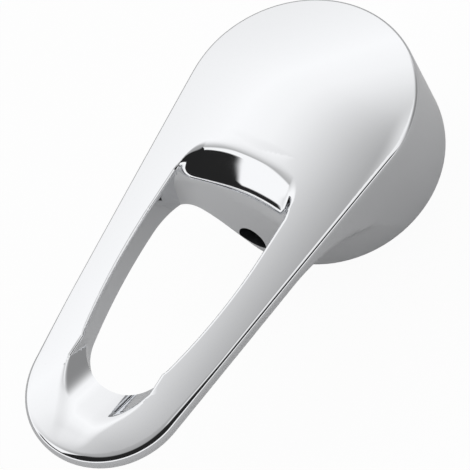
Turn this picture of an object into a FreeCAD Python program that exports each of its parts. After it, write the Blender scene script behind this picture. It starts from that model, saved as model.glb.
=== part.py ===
import FreeCAD, Part
import math
import os
import Sketcher
from FreeCAD import Vector

# Replacement handle of a single-lever basin mixer: one chrome-plated zinc die-casting with a domed
# head on a round skirt and an open loop lever, and the grub screw that clamps it on the spindle.
# Millimetres and degrees. The origin is on the skirt's axis in the plane of its rim, +Z is up and
# the lever points along -Y. The part is the same on both sides of the plane x = 0.

doc = FreeCAD.newDocument("tap_handle")

# Driving dimensions, each with what it sets
SIZES = [
    # outline seen from above: head arc, tip arc and the two straight sides tangent to both
    ("skirt_radius", 22.9, "outside radius of the skirt and of the head above it"),
    ("tip_radius", 15.8, "radius of the lever's rounded tip"),
    ("lever_reach", 64.8, "skirt axis to the centre of the tip radius"),
    # crowned top: two balls of one radius and the cylinder between them
    ("crown_radius", 64.0, "radius of the crowned top, across and along"),
    ("crown_height", 27.1, "height of the lever's ridge line where it crosses the skirt axis"),
    ("crown_rise", 3.17, "rise of the ridge line towards the tip, in degrees"),
    ("crown_head_reach", 1.0, "skirt axis to the start of the straight ridge"),
    ("crown_tip_lead", 3.0, "end of the straight ridge beyond the centre of the tip radius"),
    # underside and neck, turned about the skirt axis
    ("lever_thickness", 8.8, "thickness of the lever carried back to the skirt axis"),
    ("underside_rise", 5.1, "rise of the underside towards the tip, in degrees"),
    ("neck_lean", 9.5, "lean of the neck away from the skirt axis, in degrees"),
    ("neck_radius", 13.0, "hollow radius between the neck and the underside"),
    ("rim_edge_break", 0.1, "radial edge break of the rim"),
    # finger slot
    ("slot_half_width", 12.2, "half the width of the finger slot"),
    ("slot_head_reach", 21.3, "skirt axis to the slot's head end, at the ledge"),
    ("slot_head_lean", 11.0, "lean of the slot's head end towards the tip going down, in degrees"),
    ("slot_straight_length", 10.7, "slot's head end to where the slot starts to narrow"),
    ("slot_tip_lead", 8.4, "centre of the slot's tip radius back from that of the lever's tip"),
    ("slot_tip_radius", 9.6, "radius of the slot's tip end"),
    # ramp from the head down into the slot
    ("ledge_drop", 4.1, "drop from the crown height to the ledge where the ramp meets the slot"),
    ("ledge_round", 0.9, "radius over the ledge"),
    ("ramp_slope", 33.0, "slope of the ramp, in degrees"),
    ("ramp_roll", 3.0, "radius over which the ramp rolls into the top of the head"),
    ("ramp_floor_radius", 38.0, "hollow radius across the ramp's floor"),
    ("ramp_corner_radius", 3.6, "hollow radius between the ramp's floor and its sides"),
    ("ramp_corner_sweep", 75.0, "how far that hollow turns up before it meets the side, in degrees"),
    ("ramp_depth", 9.0, "depth of the cut that makes the ramp, from its floor up"),
    # dish at the tip end of the slot
    ("dish_lead", 0.5, "foot of the dish back from the slot's tip end"),
    ("dish_drop", 0.5, "drop from the crown height to the foot of the dish"),
    ("dish_slope", 29.0, "slope of the dish, in degrees"),
    ("dish_roll", 12.0, "radius over which the dish rolls into the top of the tip"),
    ("dish_half_width", 8.8, "half the width of the dish"),
    ("dish_floor_radius", 40.0, "hollow radius across the dish's floor"),
    ("dish_corner_radius", 10.0, "hollow radius between the dish's floor and its sides"),
    ("dish_corner_sweep", 50.0, "how far that hollow turns up before it meets the side, in degrees"),
    ("dish_depth", 10.0, "depth of the cut that makes the dish, from its floor up"),
    ("dish_run", 11.0, "run of the cut that makes the dish below its foot"),
    ("roll_lift", 0.15, "height above the top at which a roll comes level with it"),
    # inside of the skirt
    ("bore_radius", 20.2, "radius of the bore at the mouth of the skirt"),
    ("bore_length", 5.0, "length of the bore"),
    ("inside_draft", 4.0, "draft of the inside above the bore, in degrees"),
    ("ceiling_height", 20.0, "height of the ceiling inside the skirt"),
    ("ceiling_corner", 2.5, "size of the sloping corner round the ceiling"),
    ("boss_radius", 9.0, "radius of the spindle boss"),
    ("boss_end_height", 6.0, "height of the boss's lower end"),
    ("socket_width", 8.1, "width across the flats of the square spindle socket"),
    ("socket_top_height", 18.0, "height of the socket's blind end"),
    # grub screw
    ("screw_height", 9.5, "height of the grub screw's axis"),
    ("screw_diameter", 5.0, "nominal diameter of the grub screw"),
    ("screw_length", 6.0, "length of the grub screw"),
    ("screw_clearance", 0.05, "clearance all round the grub screw"),
    ("screw_key", 2.5, "width across the flats of the screw's hexagon socket"),
    ("screw_key_depth", 2.5, "depth of the screw's hexagon socket"),
    ("screw_chamfer", 0.6, "chamfer on both ends of the grub screw"),
    ("access_diameter", 6.0, "diameter of the key's access hole in the skirt"),
    # edges
    ("crease_fillet", 0.8, "edge between the crowned top and the sides"),
    ("lower_edge_fillet", 3.0, "edge between the sides and the underside"),
    ("slot_edge_fillet", 0.6, "upper edge of the slot, the ramp and the dish"),
    # how far a cut runs past what it cuts
    ("cut_margin", 3.0, "run-out of a cut"),
]

sheet = doc.addObject("Spreadsheet::Sheet", "Sizes")
for row, (alias, value, meaning) in enumerate(SIZES, start=1):
    sheet.set("A%d" % row, meaning)
    sheet.set("B%d" % row, str(value))
    sheet.setAlias("B%d" % row, alias)
doc.recompute()

# Rules for the sizes that follow from others
UNDERSIDE_HEIGHT = "(Sizes.crown_height - Sizes.lever_thickness)"
LEDGE_HEIGHT = "(Sizes.crown_height - Sizes.ledge_drop)"
SLOT_STRAIGHT_REACH = "(Sizes.slot_head_reach + Sizes.slot_straight_length)"
SLOT_TIP_REACH = "(Sizes.lever_reach - Sizes.slot_tip_lead)"
DISH_REACH = "(%s + Sizes.slot_tip_radius - Sizes.dish_lead)" % SLOT_TIP_REACH
DISH_HEIGHT = "(Sizes.crown_height - Sizes.dish_drop)"


def rule_value(rule):
    """The present value of a rule on the sheet's sizes, as a plain number."""
    value = sheet.evalExpression(rule)
    return getattr(value, "Value", value)


def new_sketch(body, role, name, offset_rule=None):
    """A sketch on one of the body's own origin planes, raised along the plane's normal by a rule."""
    plane = next(p for p in body.Origin.OriginFeatures if p.Role == role)
    sketch = body.newObject("Sketcher::SketchObject", name)
    sketch.AttachmentSupport = [(plane, "")]
    sketch.MapMode = "FlatFace"
    if offset_rule:
        sketch.setExpression("AttachmentOffset.Base.z", offset_rule)
    return sketch


def add_line(sketch, start, end):
    return sketch.addGeometry(Part.LineSegment(Vector(*start, 0), Vector(*end, 0)))


def add_arc(sketch, centre, radius, first, last):
    """An anticlockwise arc from one angle to another, in degrees."""
    circle = Part.Circle(Vector(*centre, 0), Vector(0, 0, 1), radius)
    return sketch.addGeometry(Part.ArcOfCircle(circle, math.radians(first), math.radians(last)))


def add_circle(sketch, centre, radius):
    return sketch.addGeometry(Part.Circle(Vector(*centre, 0), Vector(0, 0, 1), radius))


def relate(sketch, kind, *places):
    """A geometric constraint."""
    sketch.addConstraint(Sketcher.Constraint(kind, *places))


def dimension(sketch, rule, kind, *places):
    """A dimension that follows a rule on the sheet's sizes."""
    index = sketch.addConstraint(Sketcher.Constraint(kind, *places, sketch.evalExpression(rule)))
    sketch.setExpression("Constraints[%d]" % index, rule)


# The sketch's own origin and vertical axis, and the ends and centre of a piece of geometry
ORIGIN = (-1, 1)
UP_AXIS = -2
START, END, CENTRE = range(1, 4)


def polar(centre, radius, angle):
    """The point this far from a centre, at an angle in degrees."""
    turn = math.radians(angle)
    return (centre[0] + radius * math.cos(turn), centre[1] + radius * math.sin(turn))


casting = doc.addObject("PartDesign::Body", "handle_casting")
casting.Label = "handle_casting"

# Blank: the outline seen from above, raised to above the highest point of the top
skirt = rule_value("Sizes.skirt_radius")
tip = rule_value("Sizes.tip_radius")
reach = rule_value("Sizes.lever_reach")
side_taper = math.degrees(math.asin((skirt - tip) / reach))
outline = new_sketch(casting, "XY_Plane", "outline")
head_arc = add_arc(outline, (0, 0), skirt, -side_taper, 180 + side_taper)
left_ends = [polar((0, 0), skirt, 180 + side_taper), polar((0, -reach), tip, 180 + side_taper)]
left_side = add_line(outline, *left_ends)
tip_arc = add_arc(outline, (0, -reach), tip, 180 + side_taper, 360 - side_taper)
right_ends = [polar((0, -reach), tip, -side_taper), polar((0, 0), skirt, -side_taper)]
right_side = add_line(outline, *right_ends)
relate(outline, "Coincident", head_arc, CENTRE, *ORIGIN)
relate(outline, "PointOnObject", tip_arc, CENTRE, UP_AXIS)
relate(outline, "Tangent", head_arc, END, left_side, START)
relate(outline, "Tangent", left_side, END, tip_arc, START)
relate(outline, "Tangent", tip_arc, END, right_side, START)
relate(outline, "Tangent", right_side, END, head_arc, START)
dimension(outline, "Sizes.skirt_radius", "Radius", head_arc)
dimension(outline, "Sizes.tip_radius", "Radius", tip_arc)
dimension(outline, "Sizes.lever_reach", "DistanceY", tip_arc, CENTRE, *ORIGIN)
blank = casting.newObject("PartDesign::Pad", "blank")
blank.Profile = outline
ridge_rise_rule = "(Sizes.lever_reach + Sizes.tip_radius) * tan(Sizes.crown_rise)"
blank.setExpression("Length", "Sizes.crown_height + %s + Sizes.cut_margin" % ridge_rise_rule)
doc.recompute()

# Crown: all that stands outside a long ball-ended form of the crown radius comes off the top
crown = rule_value("Sizes.crown_radius")
rise = rule_value("Sizes.crown_rise")
ridge_angle = 90 - rise
# How far the two ends of the crowning cut turn down, in degrees, and how thick the cut is
HEAD_SWEEP = 45
TIP_SWEEP = 30
CROWN_STOCK = 40


def ridge_point(distance):
    """A point of the ridge line, this far from the skirt axis towards the tip."""
    return (-distance, rule_value("Sizes.crown_height") + distance * math.tan(math.radians(rise)))


ridge_start = ridge_point(rule_value("Sizes.crown_head_reach"))
ridge_end = ridge_point(rule_value("Sizes.lever_reach + Sizes.crown_tip_lead"))
head_centre = polar(ridge_start, -crown, ridge_angle)
tip_centre = polar(ridge_end, -crown, ridge_angle)
head_edge = ridge_angle - HEAD_SWEEP
tip_edge = ridge_angle + TIP_SWEEP
crown_side = new_sketch(casting, "YZ_Plane", "crown_side")
head_dome = add_arc(crown_side, head_centre, crown, head_edge, ridge_angle)
ridge = add_line(crown_side, ridge_start, ridge_end)
tip_dome = add_arc(crown_side, tip_centre, crown, ridge_angle, tip_edge)
tip_outer = polar(tip_centre, crown + CROWN_STOCK, tip_edge)
head_outer = polar(head_centre, crown + CROWN_STOCK, head_edge)
tip_radial = add_line(crown_side, polar(tip_centre, crown, tip_edge), tip_outer)
above = add_line(crown_side, tip_outer, head_outer)
head_radial = add_line(crown_side, head_outer, polar(head_centre, crown, head_edge))
crown_axis = add_line(crown_side, head_centre, tip_centre)
crown_side.toggleConstruction(crown_axis)
ridge_mark = crown_side.addGeometry(Part.Point(Vector(*ridge_point(0), 0)))
relate(crown_side, "PointOnObject", ridge_mark, START, UP_AXIS)
relate(crown_side, "PointOnObject", ridge_mark, START, ridge)
relate(crown_side, "Tangent", head_dome, END, ridge, START)
relate(crown_side, "Tangent", ridge, END, tip_dome, START)
relate(crown_side, "Coincident", tip_dome, END, tip_radial, START)
relate(crown_side, "Coincident", tip_radial, END, above, START)
relate(crown_side, "Coincident", above, END, head_radial, START)
relate(crown_side, "Coincident", head_radial, END, head_dome, START)
relate(crown_side, "PointOnObject", head_dome, CENTRE, head_radial)
relate(crown_side, "PointOnObject", tip_dome, CENTRE, tip_radial)
relate(crown_side, "Coincident", crown_axis, START, head_dome, CENTRE)
relate(crown_side, "Coincident", crown_axis, END, tip_dome, CENTRE)
dimension(crown_side, "Sizes.crown_height", "DistanceY", *ORIGIN, ridge_mark, START)
dimension(crown_side, "Sizes.crown_head_reach", "DistanceX", ridge, START, *ORIGIN)
dimension(crown_side, "Sizes.lever_reach + Sizes.crown_tip_lead", "DistanceX", ridge, END, *ORIGIN)
dimension(crown_side, "180 deg - Sizes.crown_rise * 1 deg", "Angle", ridge)
dimension(crown_side, "Sizes.crown_radius", "Radius", head_dome)
dimension(crown_side, "Sizes.crown_radius", "Radius", tip_dome)
crowned = casting.newObject("PartDesign::Groove", "crowned")
crowned.Profile = crown_side
crowned.ReferenceAxis = (crown_side, ["Axis0"])
crowned.Angle = 90
crowned.Midplane = True

# Underside and neck: turned about the skirt axis, hollow between the skirt and the lever
lean = rule_value("Sizes.neck_lean")
under_rise = rule_value("Sizes.underside_rise")
neck = rule_value("Sizes.neck_radius")
margin = rule_value("Sizes.cut_margin")
foot_rule = "Sizes.skirt_radius - Sizes.rim_edge_break - Sizes.cut_margin * tan(Sizes.neck_lean)"
far_rule = "Sizes.lever_reach + Sizes.tip_radius + Sizes.cut_margin"
far_height_rule = "%s + (%s) * tan(Sizes.underside_rise)" % (UNDERSIDE_HEIGHT, far_rule)
neck_foot = (rule_value(foot_rule), -margin)
far_point = (rule_value(far_rule), rule_value(far_height_rule))
lean_slope = math.tan(math.radians(lean))
rise_slope = math.tan(math.radians(under_rise))
corner_height = (
    far_point[1] + (neck_foot[0] + lean_slope * margin - far_point[0]) * rise_slope
) / (1 - lean_slope * rise_slope)
corner = (neck_foot[0] + lean_slope * (corner_height + margin), corner_height)
tangent_length = neck * math.tan(math.radians(90 - lean - under_rise) / 2)
neck_top = polar(corner, -tangent_length, 90 - lean)
under_start = polar(corner, tangent_length, under_rise)
neck_side = new_sketch(casting, "YZ_Plane", "neck_side")
neck_line = add_line(neck_side, neck_foot, neck_top)
neck_arc = add_arc(neck_side, polar(neck_top, neck, -lean), neck, 90 + under_rise, 180 - lean)
under_line = add_line(neck_side, under_start, far_point)
outer_line = add_line(neck_side, far_point, (far_point[0], -margin))
lower_line = add_line(neck_side, (far_point[0], -margin), neck_foot)
relate(neck_side, "Tangent", neck_line, END, neck_arc, END)
relate(neck_side, "Tangent", neck_arc, START, under_line, START)
relate(neck_side, "Coincident", under_line, END, outer_line, START)
relate(neck_side, "Coincident", outer_line, END, lower_line, START)
relate(neck_side, "Coincident", lower_line, END, neck_line, START)
relate(neck_side, "Vertical", outer_line)
relate(neck_side, "Horizontal", lower_line)
dimension(neck_side, "90 deg - Sizes.neck_lean * 1 deg", "Angle", neck_line)
dimension(neck_side, "Sizes.underside_rise * 1 deg", "Angle", under_line)
dimension(neck_side, "Sizes.neck_radius", "Radius", neck_arc)
dimension(neck_side, foot_rule, "DistanceX", *ORIGIN, neck_line, START)
dimension(neck_side, "Sizes.cut_margin", "DistanceY", neck_line, START, *ORIGIN)
dimension(neck_side, far_rule, "DistanceX", *ORIGIN, under_line, END)
dimension(neck_side, far_height_rule, "DistanceY", *ORIGIN, under_line, END)
necked = casting.newObject("PartDesign::Groove", "necked")
necked.Profile = neck_side
necked.ReferenceAxis = (neck_side, ["V_Axis"])
necked.Angle = 360

# Finger slot: cut through along a line that leans towards the tip going down, as its head end does
half = rule_value("Sizes.slot_half_width")
slot_start_rule = "Sizes.slot_head_reach + Sizes.ramp_depth / 2"
slot_start = rule_value(slot_start_rule)
straight_end = rule_value(SLOT_STRAIGHT_REACH)
slot_tip = rule_value("Sizes.slot_tip_radius")
slot_tip_reach = rule_value(SLOT_TIP_REACH)
narrowing = slot_tip_reach - straight_end
side_radius = (half**2 + narrowing**2 - slot_tip**2) / (2 * (half - slot_tip))
side_turn = math.degrees(math.asin(narrowing / (side_radius - slot_tip)))
slot_plan = new_sketch(casting, "XY_Plane", "slot_plan", LEDGE_HEIGHT)
head_line = add_line(slot_plan, (half, -slot_start), (-half, -slot_start))
left_wall = add_line(slot_plan, (-half, -slot_start), (-half, -straight_end))
left_bow = add_arc(slot_plan, (side_radius - half, -straight_end), side_radius, 180, 180 + side_turn)
slot_end = add_arc(slot_plan, (0, -slot_tip_reach), slot_tip, 180 + side_turn, 360 - side_turn)
right_bow = add_arc(slot_plan, (half - side_radius, -straight_end), side_radius, -side_turn, 0)
right_wall = add_line(slot_plan, (half, -straight_end), (half, -slot_start))
slot_loop = (left_wall, left_bow, slot_end, right_bow, right_wall)
for here, there in zip(slot_loop, slot_loop[1:]):
    relate(slot_plan, "Tangent", here, END, there, START)
relate(slot_plan, "Coincident", right_wall, END, head_line, START)
relate(slot_plan, "Coincident", head_line, END, left_wall, START)
relate(slot_plan, "Symmetric", head_line, START, head_line, END, UP_AXIS)
relate(slot_plan, "Symmetric", left_wall, END, right_wall, START, UP_AXIS)
relate(slot_plan, "Vertical", right_wall)
relate(slot_plan, "PointOnObject", slot_end, CENTRE, UP_AXIS)
dimension(slot_plan, slot_start_rule, "DistanceY", head_line, START, *ORIGIN)
dimension(slot_plan, "Sizes.slot_half_width", "DistanceX", *ORIGIN, right_wall, START)
dimension(slot_plan, SLOT_STRAIGHT_REACH, "DistanceY", right_wall, START, *ORIGIN)
dimension(slot_plan, SLOT_TIP_REACH, "DistanceY", slot_end, CENTRE, *ORIGIN)
dimension(slot_plan, "Sizes.slot_tip_radius", "Radius", slot_end)
slotted = casting.newObject("PartDesign::Pocket", "slotted")
slotted.Profile = slot_plan
slotted.SideType = "Symmetric"
slotted.setExpression("Length", "2 * blank.Length")
slotted.UseCustomVector = True
slot_lean = rule_value("Sizes.slot_head_lean")
slotted.Direction = Vector(0, -math.sin(math.radians(slot_lean)), -math.cos(math.radians(slot_lean)))


def tilted_sketch(body, name, tilt_rule, reach_rule, height_rule):
    """A sketch with its origin in the plane x = 0, turned about the X direction from upright."""
    sketch = new_sketch(body, "XZ_Plane", name, reach_rule)
    offset = FreeCAD.Placement(Vector(0, 0, 0), FreeCAD.Rotation(Vector(1, 0, 0), rule_value(tilt_rule)))
    sketch.AttachmentOffset = offset
    sketch.setExpression("AttachmentOffset.Base.y", height_rule)
    sketch.setExpression("AttachmentOffset.Base.z", reach_rule)
    sketch.setExpression("AttachmentOffset.Rotation.Angle", tilt_rule)
    return sketch


def add_channel(sketch, sizes, half_rule):
    """The section of a round-cornered channel: its floor is lowest at the sketch's origin."""
    corner_radius = rule_value(sizes + "corner_radius")
    corner_sweep = rule_value(sizes + "corner_sweep")
    floor_radius = rule_value(sizes + "floor_radius")
    side = rule_value(half_rule)
    lid_height = rule_value(sizes + "depth")
    hollow_rule = "%s - %scorner_radius * sin(%scorner_sweep)" % (half_rule, sizes, sizes)
    floor_turn = math.degrees(math.asin(rule_value(hollow_rule) / (floor_radius - corner_radius)))
    right_centre = polar((0, floor_radius), floor_radius - corner_radius, floor_turn - 90)
    left_centre = (-right_centre[0], right_centre[1])
    hollow_top = right_centre[1] - corner_radius * math.cos(math.radians(corner_sweep))
    floor = add_arc(sketch, (0, floor_radius), floor_radius, 270 - floor_turn, 270 + floor_turn)
    right_hollow = add_arc(sketch, right_centre, corner_radius, floor_turn - 90, corner_sweep - 90)
    right_rise = add_line(sketch, (side, hollow_top), (side, lid_height))
    lid = add_line(sketch, (side, lid_height), (-side, lid_height))
    left_rise = add_line(sketch, (-side, lid_height), (-side, hollow_top))
    left_hollow = add_arc(sketch, left_centre, corner_radius, 270 - corner_sweep, 270 - floor_turn)
    relate(sketch, "Tangent", floor, END, right_hollow, START)
    relate(sketch, "Coincident", right_hollow, END, right_rise, START)
    relate(sketch, "Coincident", right_rise, END, lid, START)
    relate(sketch, "Coincident", lid, END, left_rise, START)
    relate(sketch, "Coincident", left_rise, END, left_hollow, START)
    relate(sketch, "Tangent", left_hollow, END, floor, START)
    relate(sketch, "Symmetric", lid, START, lid, END, UP_AXIS)
    relate(sketch, "PointOnObject", floor, CENTRE, UP_AXIS)
    relate(sketch, "Vertical", right_rise)
    relate(sketch, "Vertical", left_rise)
    dimension(sketch, sizes + "floor_radius", "DistanceY", *ORIGIN, floor, CENTRE)
    dimension(sketch, sizes + "floor_radius", "Radius", floor)
    dimension(sketch, half_rule, "DistanceX", *ORIGIN, right_rise, END)
    dimension(sketch, sizes + "depth", "DistanceY", *ORIGIN, lid, START)
    dimension(sketch, hollow_rule, "DistanceX", *ORIGIN, right_hollow, CENTRE)
    dimension(sketch, hollow_rule, "DistanceX", left_hollow, CENTRE, *ORIGIN)
    dimension(sketch, sizes + "corner_radius", "Radius", right_hollow)
    dimension(sketch, sizes + "corner_radius", "Radius", left_hollow)


# Head end of the slot: a round-cornered channel drawn up the end, over the ledge and up the ramp, and
# rolled over into the top of the head
head_end = rule_value("Sizes.slot_head_reach")
ledge = rule_value(LEDGE_HEIGHT)
slope = rule_value("Sizes.ramp_slope")
ledge_round = rule_value("Sizes.ledge_round")
ramp_roll = rule_value("Sizes.ramp_roll")
lift = rule_value("Sizes.roll_lift")
ledge_point = (-head_end, ledge)
end_depth_rule = LEDGE_HEIGHT + " + Sizes.cut_margin"
end_foot_rule = "Sizes.slot_head_reach + (%s) * tan(Sizes.slot_head_lean)" % end_depth_rule
end_foot = (-rule_value(end_foot_rule), -margin)
ledge_tangent = ledge_round * math.tan(math.radians(90 - slot_lean - slope) / 2)
ledge_centre = polar(polar(ledge_point, -ledge_tangent, 90 - slot_lean), ledge_round, -slot_lean)
slope_rate = math.tan(math.radians(slope))
ridge_rate = math.tan(math.radians(rise))
level_height = rule_value("Sizes.crown_height + Sizes.roll_lift")
meeting = (level_height - ledge - head_end * slope_rate) / (slope_rate + ridge_rate)
roll_tangent = ramp_roll * math.tan(math.radians(slope + rise) / 2)
ramp_top = polar((meeting, level_height - meeting * ridge_rate), -roll_tangent, slope)
roll_centre = polar(ramp_top, ramp_roll, slope - 90)
head_path = new_sketch(casting, "YZ_Plane", "head_path")
end_line = add_line(head_path, end_foot, polar(ledge_centre, ledge_round, 180 - slot_lean))
ledge_arc = add_arc(head_path, ledge_centre, ledge_round, 90 + slope, 180 - slot_lean)
ramp_line = add_line(head_path, polar(ledge_centre, ledge_round, 90 + slope), ramp_top)
roll_arc = add_arc(head_path, roll_centre, ramp_roll, ridge_angle, 90 + slope)
level_line = add_line(head_path, (0, level_height), polar(roll_centre, ramp_roll, ridge_angle))
ledge_mark = head_path.addGeometry(Part.Point(Vector(*ledge_point, 0)))
head_path.toggleConstruction(level_line)
relate(head_path, "Tangent", end_line, END, ledge_arc, END)
relate(head_path, "Tangent", ledge_arc, START, ramp_line, START)
relate(head_path, "Tangent", ramp_line, END, roll_arc, END)
relate(head_path, "Tangent", roll_arc, START, level_line, END)
relate(head_path, "PointOnObject", level_line, START, UP_AXIS)
relate(head_path, "PointOnObject", ledge_mark, START, end_line)
relate(head_path, "PointOnObject", ledge_mark, START, ramp_line)
dimension(head_path, "Sizes.slot_head_reach", "DistanceX", ledge_mark, START, *ORIGIN)
dimension(head_path, LEDGE_HEIGHT, "DistanceY", *ORIGIN, ledge_mark, START)
dimension(head_path, "Sizes.cut_margin", "DistanceY", end_line, START, *ORIGIN)
dimension(head_path, "90 deg - Sizes.slot_head_lean * 1 deg", "Angle", end_line)
dimension(head_path, "Sizes.ramp_slope * 1 deg", "Angle", ramp_line)
dimension(head_path, "Sizes.ledge_round", "Radius", ledge_arc)
dimension(head_path, "Sizes.ramp_roll", "Radius", roll_arc)
dimension(head_path, "180 deg - Sizes.crown_rise * 1 deg", "Angle", level_line)
dimension(head_path, "Sizes.crown_height + Sizes.roll_lift", "DistanceY", *ORIGIN, level_line, START)
ramp_section = tilted_sketch(
    casting, "ramp_section", "(90 - Sizes.slot_head_lean) * 1 deg", end_foot_rule, "0 - Sizes.cut_margin"
)
add_channel(ramp_section, "Sizes.ramp_", "Sizes.slot_half_width")
ramped = casting.newObject("PartDesign::SubtractivePipe", "ramped")
ramped.Profile = ramp_section
ramped.Spine = (head_path, ["Edge1", "Edge2", "Edge3", "Edge4"])
doc.recompute()

# Dish: the tip end of the slot opens upwards along a slope and rolls over into the top of the tip
dish_reach = rule_value(DISH_REACH)
dish_height = rule_value(DISH_HEIGHT)
dish_slope = rule_value("Sizes.dish_slope")
dish_roll = rule_value("Sizes.dish_roll")
dish_foot_rule = DISH_REACH + " - Sizes.dish_run * cos(Sizes.dish_slope)"
dish_foot_height_rule = DISH_HEIGHT + " - Sizes.dish_run * sin(Sizes.dish_slope)"
dish_foot = (-rule_value(dish_foot_rule), rule_value(dish_foot_height_rule))
tip_ball = crown + lift
# Where the dish's roll comes level with the top: its centre is a roll radius off the sloping floor
slope_turn = math.radians(dish_slope)
off_floor = (
    (tip_centre[0] + dish_reach) * math.sin(slope_turn) + (tip_centre[1] - dish_height) * math.cos(slope_turn)
)
along_floor = math.sqrt((tip_ball - dish_roll) ** 2 - (off_floor + dish_roll) ** 2)
floor_end = along_floor + (
    (tip_centre[1] - dish_height) * math.sin(slope_turn) - (tip_centre[0] + dish_reach) * math.cos(slope_turn)
)
dish_top = polar((-dish_reach, dish_height), floor_end, 180 - dish_slope)
dish_centre = polar(dish_top, -dish_roll, 90 - dish_slope)
level_angle = math.degrees(math.atan2(dish_centre[1] - tip_centre[1], dish_centre[0] - tip_centre[0]))
ball_reach_rule = "Sizes.lever_reach + Sizes.crown_tip_lead + Sizes.crown_radius * sin(Sizes.crown_rise)"
ridge_end_rule = "(Sizes.lever_reach + Sizes.crown_tip_lead) * tan(Sizes.crown_rise)"
ball_depth_rule = "Sizes.crown_radius * cos(Sizes.crown_rise) - Sizes.crown_height - %s" % ridge_end_rule
dish_path = new_sketch(casting, "YZ_Plane", "dish_path")
dish_line = add_line(dish_path, dish_foot, dish_top)
dish_arc = add_arc(dish_path, dish_centre, dish_roll, 90 - dish_slope, level_angle)
tip_level = add_circle(dish_path, tip_centre, tip_ball)
dish_path.toggleConstruction(tip_level)
relate(dish_path, "Tangent", dish_line, END, dish_arc, START)
relate(dish_path, "Tangent", dish_arc, END, tip_level)
dimension(dish_path, dish_foot_rule, "DistanceX", dish_line, START, *ORIGIN)
dimension(dish_path, dish_foot_height_rule, "DistanceY", *ORIGIN, dish_line, START)
dimension(dish_path, "180 deg - Sizes.dish_slope * 1 deg", "Angle", dish_line)
dimension(dish_path, "Sizes.dish_roll", "Radius", dish_arc)
dimension(dish_path, "Sizes.crown_radius + Sizes.roll_lift", "Radius", tip_level)
dimension(dish_path, ball_reach_rule, "DistanceX", tip_level, CENTRE, *ORIGIN)
dimension(dish_path, ball_depth_rule, "DistanceY", tip_level, CENTRE, *ORIGIN)
dish_section = tilted_sketch(
    casting, "dish_section", "(0 - Sizes.dish_slope) * 1 deg", dish_foot_rule, dish_foot_height_rule
)
add_channel(dish_section, "Sizes.dish_", "Sizes.dish_half_width")
dished = casting.newObject("PartDesign::SubtractivePipe", "dished")
dished.Profile = dish_section
dished.Spine = (dish_path, ["Edge1", "Edge2"])
doc.recompute()

# Inside of the skirt: a bore at the mouth, drafted walls above it, and the boss left in the middle
bore = rule_value("Sizes.bore_radius")
bore_end = rule_value("Sizes.bore_length")
draft = rule_value("Sizes.inside_draft")
ceiling = rule_value("Sizes.ceiling_height")
ceiling_corner = rule_value("Sizes.ceiling_corner")
boss = rule_value("Sizes.boss_radius")
boss_end = rule_value("Sizes.boss_end_height")
draft_slope = math.tan(math.radians(draft))
wall_top = (bore - (ceiling - ceiling_corner - bore_end) * draft_slope, ceiling - ceiling_corner)
ceiling_end = (wall_top[0] - ceiling_corner, ceiling)
inside = new_sketch(casting, "YZ_Plane", "inside")
mouth = add_line(inside, (0, -margin), (bore, -margin))
bore_wall = add_line(inside, (bore, -margin), (bore, bore_end))
draft_wall = add_line(inside, (bore, bore_end), wall_top)
corner_line = add_line(inside, wall_top, ceiling_end)
ceiling_line = add_line(inside, ceiling_end, (boss, ceiling))
boss_wall = add_line(inside, (boss, ceiling), (boss, boss_end))
boss_face = add_line(inside, (boss, boss_end), (0, boss_end))
inside_axis = add_line(inside, (0, boss_end), (0, -margin))
relate(inside, "Coincident", mouth, END, bore_wall, START)
relate(inside, "Coincident", bore_wall, END, draft_wall, START)
relate(inside, "Coincident", draft_wall, END, corner_line, START)
relate(inside, "Coincident", corner_line, END, ceiling_line, START)
relate(inside, "Coincident", ceiling_line, END, boss_wall, START)
relate(inside, "Coincident", boss_wall, END, boss_face, START)
relate(inside, "Coincident", boss_face, END, inside_axis, START)
relate(inside, "Coincident", inside_axis, END, mouth, START)
relate(inside, "Horizontal", mouth)
relate(inside, "Vertical", bore_wall)
relate(inside, "Horizontal", ceiling_line)
relate(inside, "Horizontal", boss_face)
relate(inside, "PointOnObject", inside_axis, START, UP_AXIS)
relate(inside, "PointOnObject", inside_axis, END, UP_AXIS)
relate(inside, "Vertical", boss_wall)
dimension(inside, "Sizes.cut_margin", "DistanceY", mouth, START, *ORIGIN)
dimension(inside, "Sizes.bore_radius", "DistanceX", *ORIGIN, bore_wall, END)
dimension(inside, "Sizes.bore_length", "DistanceY", *ORIGIN, bore_wall, END)
dimension(inside, "90 deg + Sizes.inside_draft * 1 deg", "Angle", draft_wall)
dimension(inside, "Sizes.ceiling_height", "DistanceY", *ORIGIN, ceiling_line, START)
dimension(inside, "Sizes.ceiling_corner", "DistanceX", corner_line, END, corner_line, START)
dimension(inside, "Sizes.ceiling_corner", "DistanceY", corner_line, START, corner_line, END)
dimension(inside, "Sizes.boss_radius", "DistanceX", *ORIGIN, boss_face, START)
dimension(inside, "Sizes.boss_end_height", "DistanceY", *ORIGIN, boss_face, START)
hollowed = casting.newObject("PartDesign::Groove", "hollowed")
hollowed.Profile = inside
hollowed.ReferenceAxis = (inside, ["V_Axis"])
hollowed.Angle = 360

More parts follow.
